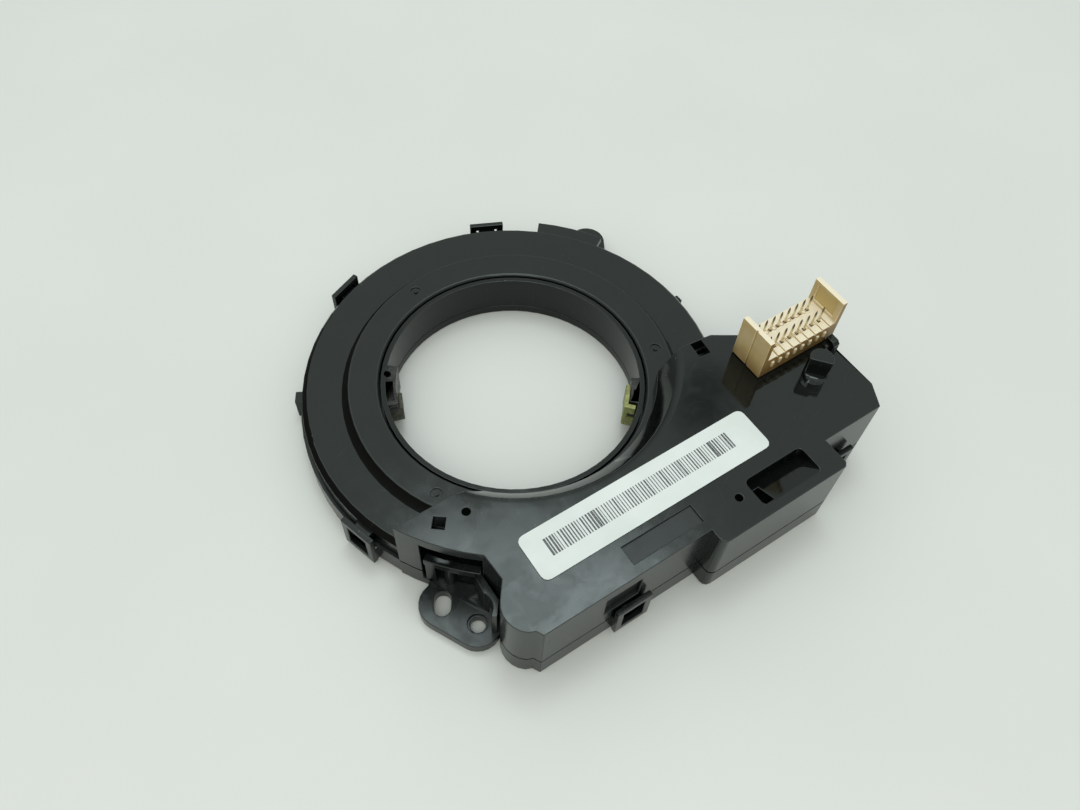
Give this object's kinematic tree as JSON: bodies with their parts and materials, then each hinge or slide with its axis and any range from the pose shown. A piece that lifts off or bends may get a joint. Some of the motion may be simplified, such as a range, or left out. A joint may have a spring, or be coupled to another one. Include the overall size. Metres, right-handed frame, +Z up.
{
  "type": "steering angle sensor",
  "caption": "Moulded ring housing round a toothed turning ring, with a box on one side that holds measuring gears and a board, and a two-row pin header.",
  "frame": {"origin": "the middle of the bounding box's base, on the surface that the lower cover lies on", "axes": "+Z up from the lower cover, along the turning ring's axis; +X along the box's long side, towards the pin header; +Y from the box towards the ring"},
  "size_m": [0.1134, 0.1102, 0.0336],
  "materials": {
    "black_moulded_plastic": "satin moulded black, handling scuffs",
    "black_cover_plastic": "satin moulded black, dusty on ledges",
    "black_rotor_plastic": "satin moulded black",
    "grey_gear_plastic": "natural moulded",
    "sintered_magnet": "sintered",
    "green_elastomer": "soft, slightly dirty",
    "ivory_header_plastic": "aged ivory",
    "tinned_pin": "tinned",
    "white_label": "coated white with plain bars",
    "green_board": "solder mask",
    "chip_package": "moulded package",
    "ceramic_capacitor": "fired",
    "metal_can": "plain",
    "zinc_screw": "zinc plated"
  },
  "bodies": {
    "housing": {"upper_housing": "black_moulded_plastic", "lower_cover": "black_cover_plastic", "circuit_board": "green_board", "sensor_chip_a": "chip_package", "sensor_chip_b": "chip_package", "microcontroller": "chip_package", "bus_transceiver": "chip_package", "voltage_regulator": "chip_package", "resonator": "metal_can", "filter_capacitor_a": "ceramic_capacitor", "filter_capacitor_b": "ceramic_capacitor", "board_screw_a": "zinc_screw", "board_screw_b": "zinc_screw", "board_screw_c": "zinc_screw", "connector_header": "ivory_header_plastic", "label": "white_label", "pin_a1": "tinned_pin", "pin_a2": "tinned_pin", "pin_a3": "tinned_pin", "pin_a4": "tinned_pin", "pin_a5": "tinned_pin", "pin_a6": "tinned_pin", "pin_a7": "tinned_pin", "pin_a8": "tinned_pin", "pin_b1": "tinned_pin", "pin_b2": "tinned_pin", "pin_b3": "tinned_pin", "pin_b4": "tinned_pin", "pin_b5": "tinned_pin", "pin_b6": "tinned_pin", "pin_b7": "tinned_pin", "pin_b8": "tinned_pin"},
    "rotor": {"rotor_ring": "black_rotor_plastic", "drive_pad_left": "green_elastomer", "drive_pad_right": "green_elastomer"},
    "gear_a": {"measuring_gear_a": "grey_gear_plastic", "magnet_a": "sintered_magnet"},
    "gear_b": {"measuring_gear_b": "grey_gear_plastic", "magnet_b": "sintered_magnet"}
  },
  "joints": [
    {"name": "rotor_spin", "type": "hinge", "parent": "housing", "child": "rotor", "pos_m": [-0.00695, 0.00615, 0.006], "axis": [0, 0, 1], "continuous": true},
    {"name": "gear_a_spin", "type": "hinge", "parent": "housing", "child": "gear_a", "pos_m": [-0.02125, -0.03785, 0.006], "axis": [0, 0, 1], "continuous": true},
    {"name": "gear_b_spin", "type": "hinge", "parent": "housing", "child": "gear_b", "pos_m": [0.00851, -0.03633, 0.006], "axis": [0, 0, 1], "continuous": true}
  ],
  "couplings": [
    {"joint": "gear_a_spin", "follows": "rotor_spin", "ratio": -3.1429},
    {"joint": "gear_b_spin", "follows": "rotor_spin", "ratio": -3.4737}
  ]
}
